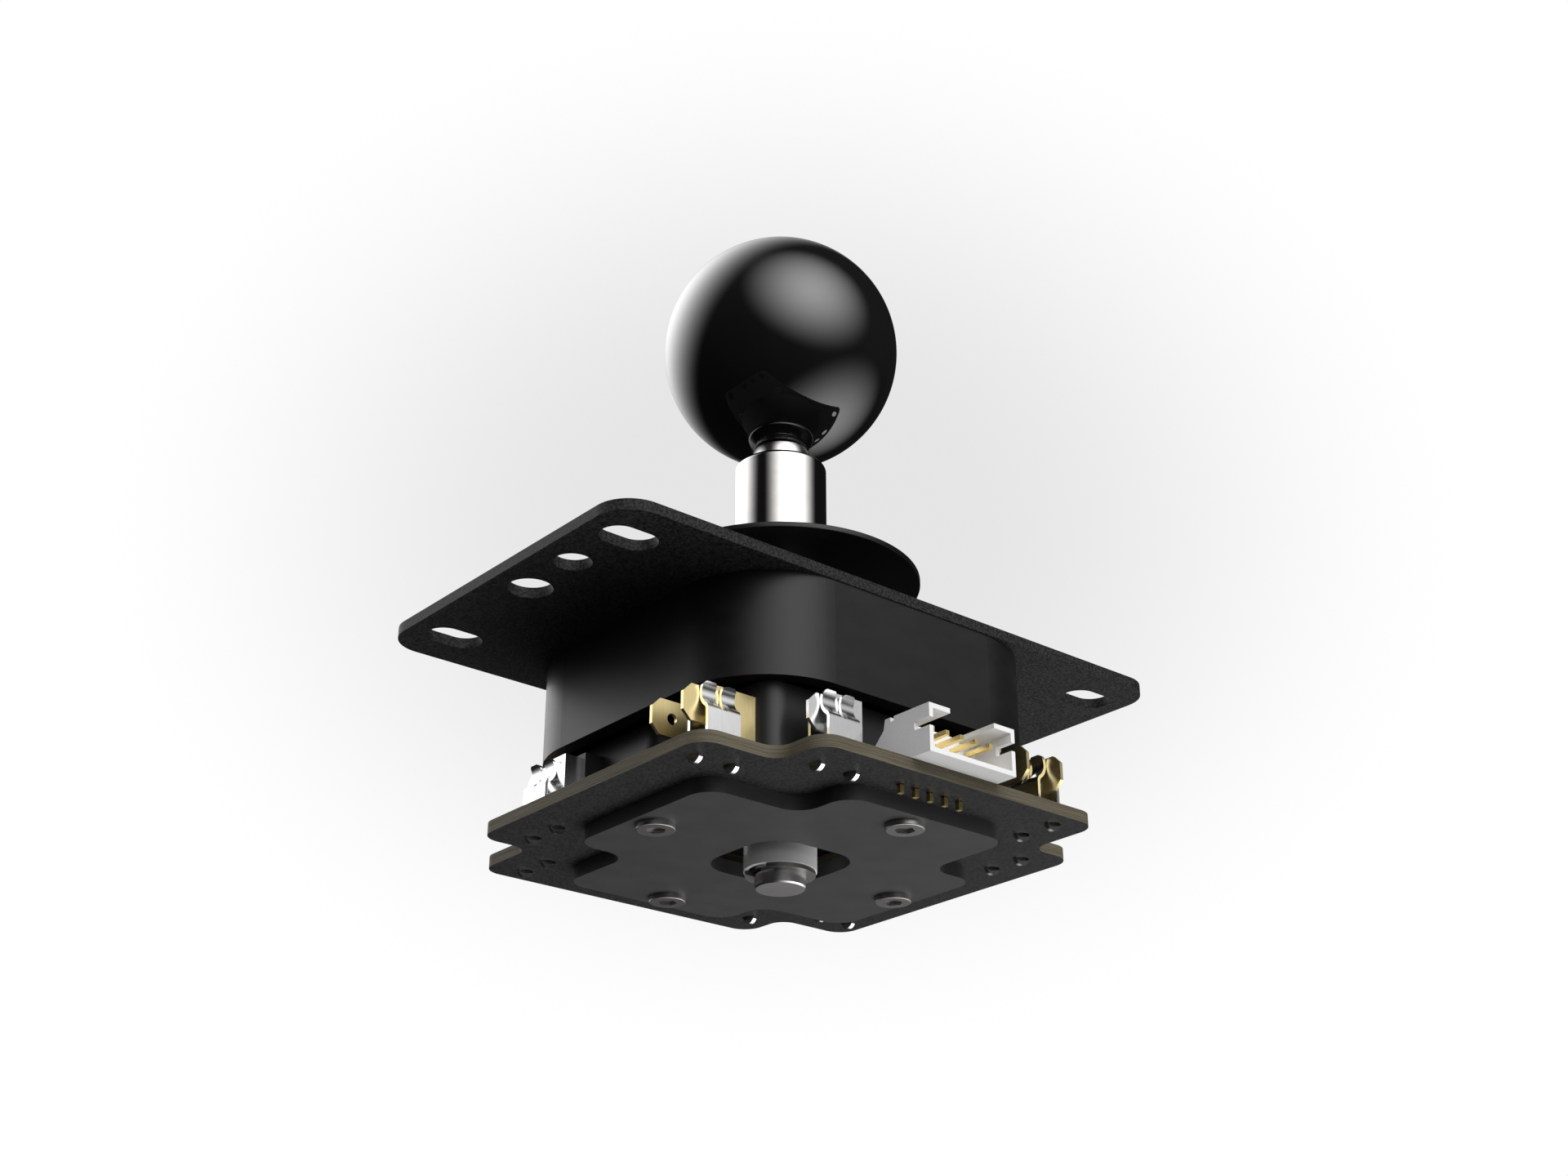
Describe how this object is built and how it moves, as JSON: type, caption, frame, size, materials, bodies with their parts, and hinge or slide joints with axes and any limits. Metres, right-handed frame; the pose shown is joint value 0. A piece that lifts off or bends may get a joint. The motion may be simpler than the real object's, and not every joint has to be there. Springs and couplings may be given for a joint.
{
  "type": "arcade stick lever assembly",
  "caption": "Arcade stick: ball-topped lever pivoting in a black housing under a steel plate, with leaf-actuated switches, a clipped circuit board and a square gate.",
  "frame": {"origin": "on the shaft axis at the top face of the mounting plate, at the middle of its slot pattern", "axes": "+Z along the upright shaft towards the ball; X along the long side of the plate; -Y is the side of the wire connector"},
  "size_m": [0.0952, 0.0715, 0.1013],
  "materials": {
    "plate_black": "fine textured black powder coat",
    "black_screws": "black oxide, satin",
    "housing_black": "satin black moulded plastic",
    "spring_steel": "drawn spring steel",
    "board_black": "black solder mask over glass epoxy with brown cut edges",
    "plug_white": "white moulded nylon",
    "gold_pins": "gold plated",
    "gate_black": "matte dark grey",
    "screw_steel": "stainless, satin",
    "clip_steel": "bright tinned spring sheet",
    "tab_silver": "bright plated",
    "tab_brass": "pale brushed brass",
    "pivot_white": "natural white bearing plastic",
    "actuator_grey": "light grey bearing plastic",
    "shaft_steel": "turned steel",
    "ball_black": "high gloss black",
    "ring_steel": "spring steel, dull",
    "collar_chrome": "polished",
    "washer_black": "smooth black",
    "case_black": "smooth black, glossy",
    "leaf_steel": "stainless strip",
    "button_red": "moulded plunger"
  },
  "bodies": {
    "base": {"mounting_plate": "plate_black", "plate_screws": "black_screws", "housing": "housing_black", "spring_washer": "spring_steel", "circuit_board": "board_black", "plug_housing": "plug_white", "plug_pins": "gold_pins", "gate_plate": "gate_black", "gate_screws": "screw_steel", "common_clips": "clip_steel", "contact_clips": "clip_steel", "common_tabs": "tab_silver", "contact_tabs": "tab_brass", "switch_case_front": "case_black", "switch_case_right": "case_black", "switch_case_back": "case_black", "switch_case_left": "case_black"},
    "spring": {"centring_spring": "spring_steel"},
    "lever": {"pivot": "pivot_white", "actuator": "actuator_grey"},
    "shaft": {"shaft": "shaft_steel", "ball_top": "ball_black", "shaft_clip": "ring_steel"},
    "collar": {"shaft_collar": "collar_chrome"},
    "washer": {"dust_washer": "washer_black"},
    "leaf_front": {"switch_lever_front": "leaf_steel"},
    "button_front": {"switch_button_front": "button_red"},
    "leaf_right": {"switch_lever_right": "leaf_steel"},
    "button_right": {"switch_button_right": "button_red"},
    "leaf_back": {"switch_lever_back": "leaf_steel"},
    "button_back": {"switch_button_back": "button_red"},
    "leaf_left": {"switch_lever_left": "leaf_steel"},
    "button_left": {"switch_button_left": "button_red"}
  },
  "joints": [
    {"name": "tilt_about_x", "type": "hinge", "parent": "base", "child": "spring", "pos_m": [0, 0, -0.005], "axis": [1, 0, 0], "range_deg": [-6.5, 6.5], "stiffness_Nm_per_rad": 0.6, "deforming": ["centring_spring"]},
    {"name": "tilt_about_y", "type": "hinge", "parent": "spring", "child": "lever", "pos_m": [0, 0, -0.005], "axis": [0, 1, 0], "range_deg": [-6.5, 6.5], "stiffness_Nm_per_rad": 0.6},
    {"name": "shaft_turn", "type": "hinge", "parent": "lever", "child": "shaft", "pos_m": [0, 0, -0.005], "axis": [0, 0, 1], "continuous": true},
    {"name": "collar_turn", "type": "hinge", "parent": "shaft", "child": "collar", "pos_m": [0, 0, 0.01], "axis": [0, 0, 1], "continuous": true},
    {"name": "washer_slide", "type": "slide", "parent": "lever", "child": "washer", "axis": [0, 0, 1], "range_m": [-0.0072, 0.0215]},
    {"name": "leaf_swing_front", "type": "hinge", "parent": "base", "child": "leaf_front", "pos_m": [-0.012, -0.00685, -0.021], "axis": [0, 0, 1], "range_deg": [-8.8, 8.8]},
    {"name": "button_press_front", "type": "slide", "parent": "base", "child": "button_front", "axis": [0, 1, 0], "range_m": [-0.0008, 0.0008]},
    {"name": "leaf_swing_right", "type": "hinge", "parent": "base", "child": "leaf_right", "pos_m": [0.00685, -0.012, -0.021], "axis": [0, 0, 1], "range_deg": [-8.8, 8.8]},
    {"name": "button_press_right", "type": "slide", "parent": "base", "child": "button_right", "axis": [-1, 0, 0], "range_m": [-0.0008, 0.0008]},
    {"name": "leaf_swing_back", "type": "hinge", "parent": "base", "child": "leaf_back", "pos_m": [0.012, 0.00685, -0.021], "axis": [0, 0, 1], "range_deg": [-8.8, 8.8]},
    {"name": "button_press_back", "type": "slide", "parent": "base", "child": "button_back", "axis": [0, -1, 0], "range_m": [-0.0008, 0.0008]},
    {"name": "leaf_swing_left", "type": "hinge", "parent": "base", "child": "leaf_left", "pos_m": [-0.00685, 0.012, -0.021], "axis": [0, 0, 1], "range_deg": [-8.8, 8.8]},
    {"name": "button_press_left", "type": "slide", "parent": "base", "child": "button_left", "axis": [1, 0, 0], "range_m": [-0.0008, 0.0008]}
  ],
  "couplings": [
    {"joint": "leaf_swing_front", "follows": "tilt_about_x", "ratio": 1.3289},
    {"joint": "button_press_front", "follows": "tilt_about_x", "m_per_rad": 0.0066954},
    {"joint": "leaf_swing_right", "follows": "tilt_about_y", "ratio": 1.3289},
    {"joint": "button_press_right", "follows": "tilt_about_y", "m_per_rad": 0.0066954},
    {"joint": "leaf_swing_back", "follows": "tilt_about_x", "ratio": -1.3289},
    {"joint": "button_press_back", "follows": "tilt_about_x", "m_per_rad": -0.0066954},
    {"joint": "leaf_swing_left", "follows": "tilt_about_y", "ratio": -1.3289},
    {"joint": "button_press_left", "follows": "tilt_about_y", "m_per_rad": -0.0066954}
  ]
}
